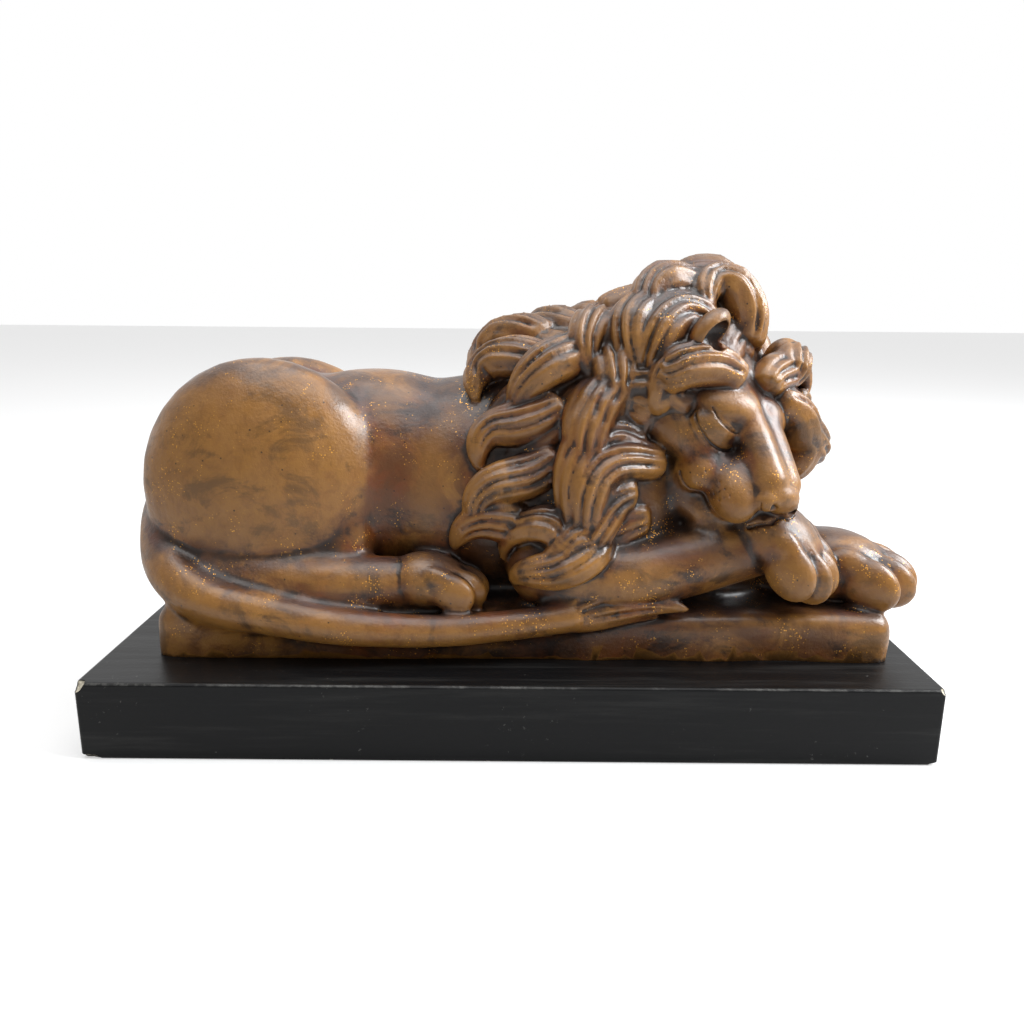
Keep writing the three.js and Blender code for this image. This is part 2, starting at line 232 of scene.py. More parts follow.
def slab():
    """The cast ground: a block with worn corners and an uneven outline."""
    bpy.ops.mesh.primitive_cube_add(size=1)
    block = bpy.context.object
    block.data.transform(Matrix.Diagonal((199, 66, 25, 1)))
    settle(block, place((3.5, 0, 0.5)))
    apply_modifier(block, "BEVEL", width=3 * MM, segments=3)
    apply_modifier(block, "SUBSURF", subdivision_type="SIMPLE", levels=5)
    ripple = bpy.data.textures.new("uneven ground", "CLOUDS")
    ripple.noise_scale = 16 * MM
    apply_modifier(block, "DISPLACE", texture=ripple, strength=3.4 * MM, mid_level=0.5)
    return block


def masses(head):
    """The big forms: ground, ribcage, loins, pelvis and the mass under the mane."""
    return [
        slab(),
        ball((-4, 3, 41), (50, 29, 33)),
        ball((-40, 4, 42), (42, 26, 33)),
        ball((-71, 4, 42), (33, 28, 35), (0, -6, 0)),
        ball((16, 2, 51), (32, 28, 35), (0, 10, 0)),
        ball((26, -7, 40), (25, 23, 27)),
        ball((50, 0, 24), (30, 20, 22)),
        ball((-12, 2, 0), (19, 27, 25), within=head),
        ball((1, 17, -4), (14, 14, 20), within=head),
        ball((8, 22, 3), (9, 9.5, 16), within=head),
    ]


def legs():
    pieces = []
    for side in SIDES:
        at = lambda x, d, z: (x, 3 + side * d, z)
        pieces += [
            ball(at(-68, 17, 41.5 - side), (34.5, 16, 36.5), (0, -8, 0)),
            limb([(*at(-48, 19, 40), 9), (*at(-46, 22, 28), 8), (*at(-60, 26, 20), 8)]),
            limb([(*at(-80, 25, 20), 9), (*at(-50, 29, 19), 8.5), (*at(-26, 29, 19.5), 7)]),
        ]
    pieces += [
        limb([(22, 20, 24, 13), (50, 12, 20, 11.5), (84, -8, 22, 10.5)]),
        limb([(10, -23, 24, 11.5), (28, -27, 22, 10.5), (46, -25, 25, 9.5), (64, -24, 30, 9)]),
    ]
    return pieces


def tail():
    """The tail, drawn along the front of the slab from the rump."""
    return limb(
        [
            (-96, 0, 44, 8),
            (-98, -12, 30, 7.5),
            (-88, -28, 19, 7),
            (-62, -35, 13, 5.6),
            (-28, -36.5, 9.5, 4.6),
            (2, -35, 11, 4.2),
            (16, -34, 13, 4.4),
        ]
    )


def skull(head):
    """The head's broad forms: cranium, forehead, bridge of the nose, cheeks, muzzle and jaw."""
    on = lambda at, radii, turn=(0, 0, 0): ball(at, radii, turn, head)
    pieces = [on((-2, 0, 1), (20, 19, 18.5)), on((9, 0, 8), (13, 14, 7.5), (0, 14, 0)), on((26, 0, -6), (12, 9, 9))]
    for side in SIDES:
        pieces.append(limb([(8, 4.6 * side, 10.5, 5.6), (20, 3.9 * side, 8.2, 4.7), (36, 3.2 * side, 2.6, 4.6)], head))
        pieces.append(limb([(19, 11 * side, -3, 5), (7, 16 * side, -4, 8), (-6, 17.5 * side, -7, 9)], head))
        pieces.append(limb([(28, 4 * side, -16.5, 5), (10, 11 * side, -16, 7), (-4, 14 * side, -12, 9)], head))
        pieces.append(on((30.5, 6.2 * side, -5.4), (10.6, 6.6, 7), (0, 13, 10 * side)))
        pieces.append(on((19, 10 * side, -7), (10, 5, 7), (0, 4, 24 * side)))
        pieces.append(on((14, 9.5 * side, 9.6), (7, 9.5, 4.2), (-22 * side, 14, 28 * side)))
        pieces.append(on((17, 7.5 * side, 2), (5, 5, 6)))
    pieces.append(on((30, 0, -16.5), (8, 7.2, 5.5)))
    return pieces


EYE_AT = (17.2, 11.2, 3.4)
EYE_RADII = (5.2, 6.8, 4.7)
EYE_TURN = (12, 0, 34)


def eye_turn(side):
    roll, pitch, yaw = EYE_TURN
    return roll * side, pitch, yaw * side


def eye_point(side, around, up, out=0.0):
    """A point on the closed lids: around is from straight ahead towards the temple, up from the eye's middle."""
    x, y, z = EYE_AT
    roll, pitch, yaw = eye_turn(side)
    eye = place((x, y * side, z), yaw, pitch, roll)
    a, b = math.radians(around), math.radians(up)
    rx, ry, rz = (radius + out for radius in EYE_RADII)
    return eye @ Vector((rx * math.cos(a) * math.cos(b), side * ry * math.sin(a) * math.cos(b), rz * math.sin(b)))


def lid_line(side, middle, sag, out=0.0):
    """Points along a lid, from the inner corner to the outer one: it sags by so many degrees at its middle."""
    turns = range(-76, 77, 19)
    return [eye_point(side, turn, middle - sag * math.cos(math.radians(turn * 90 / 80)), out) for turn in turns]


def features(head, skin):
    """Eyes and lids, the nose and a ridge under each eye."""
    on = lambda at, radii, turn=(0, 0, 0): ball(at, radii, turn, head)
    pieces = [on((39.6, 0, 0.6), (3.8, 6.2, 4.4), (0, 22, 0))]
    for side in SIDES:
        x, y, z = EYE_AT
        pieces.append(on((x, y * side, z), EYE_RADII, eye_turn(side)))
        for middle, sag, radius in ((2, 22, 0.85), (-14, 22, 0.8)):
            pieces.append(limb([(*point, radius) for point in lid_line(side, middle, sag)], head))
        pieces.append(limb([(26, 9 * side, -0.5, 1), (18, 13.4 * side, -3.6, 1.6), (9, 18 * side, -3.5, 1.2)], head))
        pieces.append(on((39.2, 4.6 * side, -0.6), (3.6, 3, 3.2), (0, 10, 20 * side)))
    return pieces


EAR_AT = (1, 17.5, 21)


def ears(head):
    x, y, z = EAR_AT
    return [ball((x, y * side, z), (3.8, 5.6, 6.8), (28 * side, 0, -28 * side), head) for side in SIDES]


def thread(points, skin, within, spacing=0.8):
    """A line over the skin through points in millimetres, each with its radius."""
    metre = GROUND_PLACE @ Matrix.Scale(MM, 4) @ within
    back = metre.inverted()
    laid = []
    for start, end in zip(points, points[1:]):
        count = max(1, round((Vector(end[:3]) - Vector(start[:3])).length / spacing))
        for i in range(count + (end is points[-1])):
            x, y, z, radius = Vector(start).lerp(Vector(end), i / count)
            at, _ = skin.nearest(metre @ Vector((x, y, z)))
            laid.append((*(back @ at), radius))
    return laid


def hollows(head, skin):
    """What is cut into the head: ears, nostrils, the mouth, the groove under the nose, whisker pits and shut eyes."""
    off = lambda at, radii, turn=(0, 0, 0): ball(at, radii, turn, head)
    cuts = [limb(thread([(43.6, 0, -2.5, 0.5), (42, 0, -6, 0.7), (39.5, 0, -10.5, 0.8)], skin, head), head)]
    for side in SIDES:
        x, y, z = EAR_AT
        cuts.append(off((x + 3.6, (y + 0.6) * side, z + 0.6), (4, 3.5, 4.6), (28 * side, 0, -28 * side)))
        cuts.append(limb([(43.4, 2.8 * side, -1.4, 0.9), (42.4, 4.6 * side, -0.8, 1.1), (41, 6 * side, 0.4, 0.6)], head))
        mouth = [(35, 7 * side, -12.5, 0.6), (29, 11 * side, -12.5, 0.9), (21, 14 * side, -10, 0.6)]
        cuts.append(limb(thread(mouth, skin, head), head))
        edge = [(40.5, 8 * side, -1.5, 0.35), (41.5, 5 * side, -4.4, 0.5), (42, 0, -5, 0.5)]
        cuts.append(limb(thread(edge, skin, head), head))
        shut = thread([(*point, 0.55) for point in lid_line(side, -6.5, 22, 0.6)], skin, head)
        crease = thread([(*point, 0.4) for point in lid_line(side, 44, 4, 0.2)], skin, head)
        cuts += [limb(shut, head), limb(crease, head)]
        for row, count in enumerate((4, 4, 3)):
            for k in range(count):
                pit = Vector((36 - 2.8 * k - 0.8 * row, 16 * side, -3.8 - 2.4 * row))
                at = thread([(*pit, 0.5), (*pit, 0.5)], skin, head)[0]
                cuts.append(off(at[:3], (0.4,) * 3))
    return cuts


def paw(at, size):
    pieces = [ball((-3 * size, 0, 0), (12 * size, 9.5 * size, 8 * size), within=at)]
    for toe in (-1.5, -0.5, 0.5, 1.5):
        ahead = size * (8.5 - 1.4 * toe * toe)
        pieces.append(ball((ahead, 4.7 * size * toe, -size), (7 * size, 3.1 * size, 5.6 * size), (0, 18, 5 * toe), at))
        knuckle = (ahead - 4.5 * size, 4.5 * size * toe, 2.4 * size)
        pieces.append(ball(knuckle, (5.4 * size, 2.7 * size, 3.6 * size), (0, 14, 5 * toe), at))
    return pieces


def paws():
    pieces = paw(place((95, -14.5, 21.5), -26, 4), 1.3) + paw(place((73, -27, 31), -34, 34), 1.18)
    for side in SIDES:
        pieces += paw(place((-20, 3 + side * 29, 20), side * 6, 4), 0.95)
    return pieces


def lock_master():
    """One lock of hair, to be copied and laid: a ball whose rings become the lock's sections."""
    bpy.ops.mesh.primitive_uv_sphere_add(segments=40, ring_count=36)
    return bpy.context.object


def lay_lock(master, path, normals, width, thickness, strands, twist, blunt=False):
    """A copy of the lock laid along a path, flat side down, with grooves between its strands."""
    copy = master.copy()
    copy.data = master.data.copy()
    bpy.context.collection.objects.link(copy)
    points = np.empty(len(copy.data.vertices) * 3)
    copy.data.vertices.foreach_get("co", points)
    points = points.reshape(-1, 3)
    along = np.arccos(np.clip(-points[:, 2], -1, 1)) / math.pi
    around = np.arctan2(points[:, 1], points[:, 0])
    path, normals = np.array(path), np.array(normals)
    tangents = np.gradient(path, axis=0)
    sides = np.cross(normals, tangents)
    sides /= np.linalg.norm(sides, axis=1)[:, None]
    ups = np.cross(tangents, sides)
    ups /= np.linalg.norm(ups, axis=1)[:, None]
    at = along * (len(path) - 1)
    whole = np.clip(at.astype(int), 0, len(path) - 2)
    part = (at - whole)[:, None]
    mix = lambda rows: rows[whole] * (1 - part) + rows[whole + 1] * part
    centre, side, up = mix(path), mix(sides), mix(ups)
    if blunt:
        swell = np.clip(along / 0.3, 0, 1) ** 0.6 * np.sqrt(np.clip((1 - along) / 0.12, 0, 1)) * (1 - 0.25 * along)
    else:
        swell = np.sin(math.pi * np.clip(0.2 + 0.78 * along, 0, 1)) ** 0.8 * np.clip(along / 0.06, 0, 1) ** 0.5
    across = np.cos(around)
    height = np.sin(around)
    wave = np.abs(np.sin(math.pi * (strands * (0.5 + 0.5 * across) + twist * along)))
    groove = (1 - wave**0.55) * np.clip(height * 3, 0, 1) * np.clip(along * 6, 0, 1)
    rise = height * thickness * (1 - 0.55 * groove)
    where = centre + side * (across * swell * width / 2)[:, None] + up * (rise * swell)[:, None]
    copy.data.vertices.foreach_set("co", where.ravel())
    copy.data.update()
    return copy


class Skin:
    """The clay's surface, to lay hair on."""

    def __init__(self, clay):
        self.tree = BVHTree.FromObject(clay, bpy.context.evaluated_depsgraph_get())

    def nearest(self, point):
        at, normal, _, _ = self.tree.find_nearest(point)
        return at, normal


def turned(direction, normal, angle):
    """A direction in the surface, turned to the left about its normal."""
    return direction * math.cos(angle) + normal.cross(direction) * math.sin(angle)


def grow(skin, root, face, length, lift, away, hold, swing, curl, steps=26):
    """A lock's path: it flows away from the face, falls, swings from side to side and curls in at its tip.

    away is how strongly the face pushes it, hold how firmly it keeps to the fall of the hair, and swing and curl
    are angles.
    """
    point, normal = skin.nearest(root)
    path, normals = [], []
    heading = None
    for i in range(steps + 1):
        t = i / steps
        rise = lift * min(1, t / 0.5) ** 1.2 * (1 - 0.85 * max(0, (t - 0.6) / 0.4) ** 1.6)
        path.append(point + normal * rise)
        normals.append(normal.copy())
        over_arm = min(1, max(0, (point.z - 0.058) / 0.012))
        near_side = min(1, max(0, -point.y / 0.016))
        fall = 0.15 + 0.9 * t + near_side * (0.3 + 0.7 * t)
        flow = (point - face).normalized() * away * (1 - 0.8 * t)
        flow += Vector((-0.3, 0, -fall * over_arm))
        flow = (flow - flow.dot(normal) * normal).normalized()
        flow = turned(flow, normal, swing * math.sin(2 * math.pi * (point - face).length / 0.032))
        heading = flow if heading is None else (heading + flow * max(hold, 1 - 1.8 * t)).normalized()
        heading = turned(heading, normal, curl * 8 * max(0, t - 0.5) / steps)
        point, fresh = skin.nearest(point + heading * length / steps)
        normal = (normal * 2 + fresh).normalized()
        heading = (heading - heading.dot(normal) * normal).normalized()
    return path, normals


def hairline(head):
    """Where the ring of locks round the face starts: the angle from the crown, and the place in metres."""
    metre = GROUND_PLACE @ Matrix.Scale(MM, 4) @ head
    ring = []
    for angle in (-150, -130, -110, -90, -70, -55, -17, -5, 7, 19, 33, 50, 66, 82, 98, 114, 132):
        turn = math.radians(angle)
        far = max(0, math.sin(turn))
        at = Vector((9 + 3 * math.cos(turn) + 6 * far, (22 + 7 * far) * math.sin(turn), -4 + 20 * math.cos(turn)))
        ring.append((angle, metre @ at))
    return ring


def hair_roots(clay, head, spacing, taken=()):
    """Roots spread over the mane, those farthest from the face first, each with its distance from the face."""
    metre = GROUND_PLACE @ Matrix.Scale(MM, 4)
    points = np.empty(len(clay.data.vertices) * 3)
    clay.data.vertices.foreach_get("co", points)
    points = points.reshape(-1, 3)[::7]
    inverse = np.array((metre @ head).inverted())
    local = points @ inverse[:3, :3].T + inverse[:3, 3]
    world = (points - np.array(metre.translation)) / MM
    x, y, z = world.T
    back, across, up = local.T
    ring = np.hypot(across, up)
    face = (np.hypot(across / 22, (up + 4) / 21) < 1) & (back > -3)
    ear = np.hypot(np.abs(across) - 17.5, up - 20) + np.abs(back - 2) * 0.6 < 8.5
    mane_line = x > 13 - 0.12 * np.clip(z - 60, 0, 40)
    above_arm = z > 36 + np.clip((x - 30) * 0.2, 0, 10)
    chosen = ~face & ~ear & mane_line & above_arm & (x < 92)
    points, ring, back = points[chosen], ring[chosen], back[chosen]
    distance = np.maximum(0, 6 - back) + 0.3 * np.maximum(0, ring - 22)
    order = np.argsort(-distance, kind="stable")
    roots = []
    kept = np.array([list(root) for root in taken]).reshape(-1, 3)
    for i in order:
        if len(kept) and np.min(np.sum((kept - points[i]) ** 2, axis=1)) < (spacing * MM) ** 2:
            continue
        kept = np.vstack([kept, points[i]])
        roots.append((Vector(points[i]), distance[i]))
    return roots


def mane(clay, head):
    """Three layers of locks: a low one all over, long ones down the neck, and a ring of curls round the face."""
    metre = GROUND_PLACE @ Matrix.Scale(MM, 4)
    face = metre @ head @ Vector((16, 0, -4))
    skin = Skin(clay)
    master = lock_master()
    locks = []

    near_ear = metre @ head @ Vector((EAR_AT[0], -EAR_AT[1], EAR_AT[2]))

    def lay(root, length, width, lift, away, hold, swing, curl, strands=4, fat=0.36, blunt=False):
        path, normals = grow(skin, root, face, length * MM, lift * MM, away, hold, swing, curl)
        if min((point - near_ear).length for point in path) < (2 + width * 0.4) * MM:
            return
        twist = 0.5 if curl > 0 else -0.5
        locks.append(lay_lock(master, path, normals, width * MM, width * fat * MM, strands, twist, blunt))

    for root, distance in hair_roots(clay, head, 8):
        lay(root, 20, 10, 0.3, 0.7, 0.4, 0.6, 0.1, 3, 0.22)
    ring = hairline(head)
    for angle, root in ring:
        hand = 1 if angle < 0 else -1
        if abs(angle) < 40:
            lay(root, 27 + 4 * (angle % 3), 12, 5 + angle % 4, 1.2, 0.2, 0.2, 1.7 * hand, 4, 0.5)
        elif angle < 0:
            lay(root, 50, 12.5, 4.5, 1, 0.5, 0.7, 0.9, 4, 0.42)
        else:
            lay(root, 25, 10.5, 4.5, 1.2, 0, 0, 3.8 * hand, 4, 0.5, True)
    for i, (root, distance) in enumerate(hair_roots(clay, head, 11.5, [root for _, root in ring])):
        near = max(0, 1 - distance / 26)
        hand = 1 if root.y < 0 else -1
        front = min(1, max(0, -root.y / 0.02)) * near
        high = min(1, max(0, (root.z - 0.095) / 0.01))
        lift = 2.4 + 1.3 * (i % 3) + 1.5 * high
        length = 31 - 5 * near + 12 * front
        lay(root, length, 12 + 2 * high, lift, 0.4 + 0.8 * near, 0.3, 0.7, 1.3 * hand, 4, 0.38 + 0.06 * high)
    pick(master)
    bpy.ops.object.delete()
    return locks


def tuft():
    """The flame-shaped end of the tail, of three strands that part at their tips."""
    master = lock_master()
    strands = []
    for rise, reach, width in ((0, 38, 9), (3.4, 33, 7), (-3.2, 30, 7)):
        path, normals = [], []
        for i in range(25):
            t = i / 24
            x = 10 + reach * t
            y = -34.5 + 2.5 * t
            z = 12.5 + rise * math.sin(math.pi * t * 0.8) + 5 * math.sin(math.pi * t) * t + 1.5 * t
            path.append(GROUND_PLACE @ (Vector((x, y, z)) * MM))
            normals.append(Vector((0, -1, 0.25)).normalized())
        strands.append(lay_lock(master, path, normals, width * MM, 3.2 * MM, 3, 0.4))
    pick(master)
    bpy.ops.object.delete()
    return strands


def cut_flat(piece, height):
    """Cuts off what lies below a height, and closes the cut."""
    pick(piece)
    bpy.ops.object.mode_set(mode="EDIT")
    bpy.ops.mesh.select_all(action="SELECT")
    bpy.ops.mesh.bisect(plane_co=(0, 0, height), plane_no=(0, 0, 1), use_fill=True, clear_inner=True)
    bpy.ops.object.mode_set(mode="OBJECT")


def coordinates(piece, kind="co"):
    values = np.empty(len(piece.data.vertices) * 3)
    piece.data.vertices.foreach_get(kind, values)
    return values.reshape(-1, 3)


def set_attribute(piece, name, values):
    attribute = piece.data.attributes.new(name, "FLOAT", "POINT")
    attribute.data.foreach_set("value", values.astype(np.float32))


def sinking(piece, rounds):
    """How far each point lies below the skin around it: positive in a groove and negative on a ridge."""
    points, normals = coordinates(piece), coordinates(piece, "normal")
    ends = np.empty(len(piece.data.edges) * 2, np.int32)
    piece.data.edges.foreach_get("vertices", ends)
    start, end = ends.reshape(-1, 2).T
    count = len(points)
    links = (np.bincount(start, minlength=count) + np.bincount(end, minlength=count))[:, None]
    soft = points.copy()
    for _ in range(rounds):
        pulls = [
            np.bincount(start, soft[end, axis], count) + np.bincount(end, soft[start, axis], count) for axis in range(3)
        ]
        soft = (soft + np.stack(pulls, axis=1) / links) / 2
    return np.sum((soft - points) * normals, axis=1)


def model_lion(sizes):
    head = head_place(sizes)
    grain = sizes.grain / MM
    bpy.ops.object.select_all(action="DESELECT")
    pieces = masses(head)
    clay = pieces.pop()
    clay.name = clay.data.name = "lion_cast"
    press(clay, pieces)
    knead(clay, 1.6, 20)
    press(clay, [*legs(), tail()])
    press(clay, skull(head))
    knead(clay, 1.0, 7)
    press(clay, paws())
    press(clay, features(head, Skin(clay)))
    knead(clay, 0.7, 2)
    press(clay, [*mane(clay, head), *tuft(), *ears(head)])
    knead(clay, grain, 3)
    carve(clay, hollows(head, Skin(clay)))
    return clay


def finish_lion(clay, sizes):
    """Thins the casting's mesh, cuts its underside flat and notes where its grooves and ridges are."""
    faces = sum(len(face.vertices) - 2 for face in clay.data.polygons)
    apply_modifier(clay, "DECIMATE", ratio=min(1, sizes.triangles / faces))
    cut_flat(clay, PLINTH_HIGH.z)
    set_attribute(clay, "groove", sinking(clay, 14) / (0.25 * MM))
    set_attribute(clay, "dip", sinking(clay, 160) / (1.6 * MM))
    pick(clay)
    bpy.ops.object.shade_smooth()


CHIPS = (
    ((-1, -1, 1), (1.1, 1, 0.9)),
    ((-1, -1, -1), (2.2, 0.6, 0.5)),
    ((1, -1, 1), (0.6, 0.7, 0.6)),
    ((1, -1, -1), (0.9, 0.7, 0.5)),
    ((-1, 1, 1), (0.6, 0.5, 0.5)),
    ((1, 1, 1), (0.5, 0.7, 0.6)),
)
NICKS = ((-46, -1), (-6, -1), (22, -1), (63, 1), (-71, 1))


def model_plinth(sizes):
    """The block with rounded edges, chipped at its corners and nicked along its lower edge."""
    middle, half = (PLINTH_HIGH + PLINTH_LOW) / 2, (PLINTH_HIGH - PLINTH_LOW) / 2
    bpy.ops.object.select_all(action="DESELECT")
    bpy.ops.mesh.primitive_cube_add(size=2)
    block = bpy.context.object
    block.name = block.data.name = "plinth_block"
    block.data.transform(Matrix.Translation(middle) @ Matrix.Diagonal((*half, 1)))
    apply_modifier(block, "BEVEL", width=sizes.edge, segments=3)
    pick(block)
    bpy.ops.object.mode_set(mode="EDIT")
    bpy.ops.mesh.select_mode(type="FACE")
    bpy.ops.mesh.select_all(action="DESELECT")
    bpy.ops.object.mode_set(mode="OBJECT")
    for face in block.data.polygons:
        face.select = face.area > 4 * half.y * half.z * 0.8
    bpy.ops.object.mode_set(mode="EDIT")
    bpy.ops.mesh.inset(thickness=sizes.rubbed, use_individual=True)
    bpy.ops.object.mode_set(mode="OBJECT")
    rough = bpy.data.textures.new("broken edge", "CLOUDS")
    rough.noise_scale = 1.6 * MM
    tools = []
    for corner, reach in CHIPS:
        bpy.ops.mesh.primitive_uv_sphere_add(segments=32, ring_count=16)
        tool = bpy.context.object
        at = middle + Vector(a * b for a, b in zip(corner, half))
        size = Vector(reach) * sizes.chip
        tool.data.transform(Matrix.Translation(at) @ Matrix.Diagonal((*size, 1)))
        tools.append(tool)
    for x, side in NICKS:
        bpy.ops.mesh.primitive_uv_sphere_add(segments=24, ring_count=12)
        tool = bpy.context.object
        at = Vector((x * MM, middle.y + side * half.y, PLINTH_LOW.z if side < 0 else PLINTH_HIGH.z))
        tool.data.transform(Matrix.Translation(at) @ Matrix.Diagonal((1.3 * MM, 0.5 * MM, 0.5 * MM, 1)))
        tools.append(tool)
    pick(*tools)
    bpy.ops.object.join()
    tool = bpy.context.object
    apply_modifier(tool, "REMESH", mode="VOXEL", voxel_size=0.25 * MM)
    apply_modifier(tool, "DISPLACE", texture=rough, strength=1.1 * MM, mid_level=0.5)
    apply_modifier(block, "BOOLEAN", operation="DIFFERENCE", object=tool, solver="EXACT")
    pick(tool)
    bpy.ops.object.delete()
    pick(block)
    bpy.ops.object.shade_smooth_by_angle(angle=math.radians(35))
    depths = np.sort(np.array(half) - np.abs(coordinates(block) - np.array(middle)), axis=1)
    set_attribute(block, "rubbed", np.clip(1 - depths[:, 1] / sizes.rubbed, 0, 1))
    set_attribute(block, "chipped", np.clip((depths[:, 0] - 0.25 * MM) / (0.15 * MM), 0, 1))
    return block


def add(tree, kind, links=None, **settings):
    """Adds a node with its settings. A link is a socket to read, or the value that the input gets."""
    made = tree.nodes.new(kind)
    for name, value in settings.items():
        setattr(made, name, value)
    for name, value in (links or {}).items():
        if isinstance(value, bpy.types.NodeSocket):
            tree.links.new(value, made.inputs[name])
        else:
            made.inputs[name].default_value = value
    return made


class Paintbox:
    """The node tree of one new material, with short names for what its recipe repeats."""

    def __init__(self, name):
        self.material = bpy.data.materials.new(name)
        self.material.use_nodes = True
        self.tree = self.material.node_tree
        self.shader = self.tree.nodes["Principled BSDF"]
        self.place = add(self.tree, "ShaderNodeTexCoord").outputs["Object"]

    def noise(self, size, detail=4, rough=0.55, distort=0.0, stretch=None):
        place = self.place
        if stretch:
            place = add(self.tree, "ShaderNodeMapping", {"Vector": place, "Scale": stretch}).outputs["Vector"]
        links = {"Vector": place, "Scale": 1 / size, "Detail": detail, "Roughness": rough, "Distortion": distort}
        return add(self.tree, "ShaderNodeTexNoise", links).outputs["Fac"]

    def ramp(self, value, low, high, least=0.0, most=1.0):
        links = {"Value": value, "From Min": low, "From Max": high, "To Min": least, "To Max": most}
        return add(self.tree, "ShaderNodeMapRange", links, interpolation_type="SMOOTHSTEP").outputs["Result"]

    def math(self, operation, one, other=0.0):
        return add(self.tree, "ShaderNodeMath", {0: one, 1: other}, operation=operation).outputs[0]

    def mix(self, share, one, other):
        links = {0: share, 6: self.colour(one), 7: self.colour(other)}
        return add(self.tree, "ShaderNodeMix", links, data_type="RGBA").outputs[2]

    def colour(self, value):
        return value if isinstance(value, bpy.types.NodeSocket) else (*value, 1)

    def attribute(self, name):
        return add(self.tree, "ShaderNodeAttribute", attribute_name=name).outputs["Fac"]

    def bump(self, height, distance, strength=1.0, under=None):
        links = {"Height": height, "Distance": distance, "Strength": strength}
        if under:
            links["Normal"] = under
        return add(self.tree, "ShaderNodeBump", links).outputs["Normal"]


def patinated_cast(finishes):
    """Cast plaster with bronze paint under a brown glaze and varnish.

    The paint is brushed on and wiped, so it is light on ridges and dark in hollows, with loose metal flecks.
    Part of this is painted light: a painted highlight on the ridges, painted shade in the hollows and a painted grey
    sheen on what faces up.
    """
    box = Paintbox("bronze_painted_cast_plaster")
    groove, dip = box.attribute("groove"), box.attribute("dip")
    up = add(box.tree, "ShaderNodeSeparateXYZ", {0: add(box.tree, "ShaderNodeTexCoord").outputs["Normal"]}).outputs["Z"]
    cloud = box.noise(24 * MM, 6, 0.6, 0.6)
    blot = box.noise(11 * MM, 7, 0.66, 0.9)
    smoke = box.noise(4 * MM, 6, 0.68, 0.6)
    brushed = box.noise(5 * MM, 6, 0.62, 0.5, (0.22, 1, 1))
    # Paler on broad ridges: partly paint rubbed clean there, partly a painted highlight.
    worn = box.ramp(dip, -0.05, -0.9)
    colour = box.mix(box.ramp(cloud, 0.38, 0.6), finishes.ochre, finishes.rust)
    colour = box.mix(box.ramp(blot, 0.36, 0.56, 0, 0.85), colour, finishes.brown)
    colour = box.mix(box.math("MULTIPLY", worn, box.ramp(smoke, 0.3, 0.6, 0.2, 0.75)), colour, finishes.ochre)
    glaze = box.math("ADD", box.math("MULTIPLY", box.noise(15 * MM, 7, 0.7, 0.7), 0.7), box.math("MULTIPLY", brushed, 0.3))
    colour = box.mix(box.ramp(glaze, 0.5, 0.6, 0, 0.8), colour, finishes.umber)
    # Ochre on fine ridges: partly glaze wiped off them, partly a painted highlight.
    ridge = box.ramp(groove, -0.25, -1.0)
    colour = box.mix(box.math("MULTIPLY", ridge, 0.4), colour, finishes.ochre)
    # Painted sheen: what faces up is greyed, standing in for the light reflected from above.
    sheen = box.math("MULTIPLY", box.ramp(up, 0.2, 0.95), box.ramp(box.noise(15 * MM, 5, 0.6, 1.0), 0.36, 0.58, 0.25, 1))
    colour = box.mix(box.math("MULTIPLY", sheen, 0.75), colour, finishes.top_sheen)
    # Darker in the grooves and broad hollows: partly dark glaze left there, partly painted shade.
    sunk = box.math("MAXIMUM", box.ramp(groove, 0.1, 0.9), box.ramp(dip, 0.12, 1.0))
    glaze_and_shade = box.math("MULTIPLY", sunk, box.ramp(smoke, 0.3, 0.55, 0.6, 1))
    colour = box.mix(box.math("MULTIPLY", glaze_and_shade, 0.9), colour, finishes.umber)
    cells = add(box.tree, "ShaderNodeTexVoronoi", {"Vector": box.place, "Scale": 1 / (0.42 * MM)})
    chance = add(box.tree, "ShaderNodeSeparateColor", {0: cells.outputs["Color"]}).outputs[0]
    patches = box.ramp(box.noise(10 * MM, 6, 0.7, 0.5), 0.53, 0.64)
    fleck = box.math("MULTIPLY", box.math("GREATER_THAN", chance, 0.84), patches)
    fleck = box.math("MULTIPLY", fleck, box.math("LESS_THAN", cells.outputs["Distance"], 0.45))
    colour = box.mix(fleck, colour, finishes.gold)
    wet = box.ramp(box.noise(7 * MM, 4), 0.35, 0.65, 0.3, 0.5)
    normal = box.bump(box.noise(3.2 * MM, 4, 0.6), 0.25 * MM, 0.7)
    normal = box.bump(box.noise(0.8 * MM, 3, 0.6), 0.08 * MM, 0.8, normal)
    holes = add(box.tree, "ShaderNodeTexVoronoi", {"Vector": box.place, "Scale": 1 / (2.6 * MM)})
    rare = add(box.tree, "ShaderNodeSeparateColor", {0: holes.outputs["Color"]}).outputs[0]
    pinhole = box.math("MULTIPLY", box.ramp(holes.outputs["Distance"], 0.13, 0.07), box.math("GREATER_THAN", rare, 0.72))
    normal = box.bump(pinhole, 0.35 * MM, -1.0, normal)
    colour = box.mix(box.math("MULTIPLY", pinhole, 0.8), colour, finishes.umber)
    box.tree.links.new(colour, box.shader.inputs["Base Color"])
    box.tree.links.new(box.math("MULTIPLY", fleck, 0.9), box.shader.inputs["Metallic"])
    box.tree.links.new(wet, box.shader.inputs["Roughness"])
    box.tree.links.new(normal, box.shader.inputs["Normal"])
    box.shader.inputs["IOR"].default_value = 1.5
    box.shader.inputs["Coat Weight"].default_value = 0.25
    box.shader.inputs["Coat Roughness"].default_value = 0.22
    return box.material


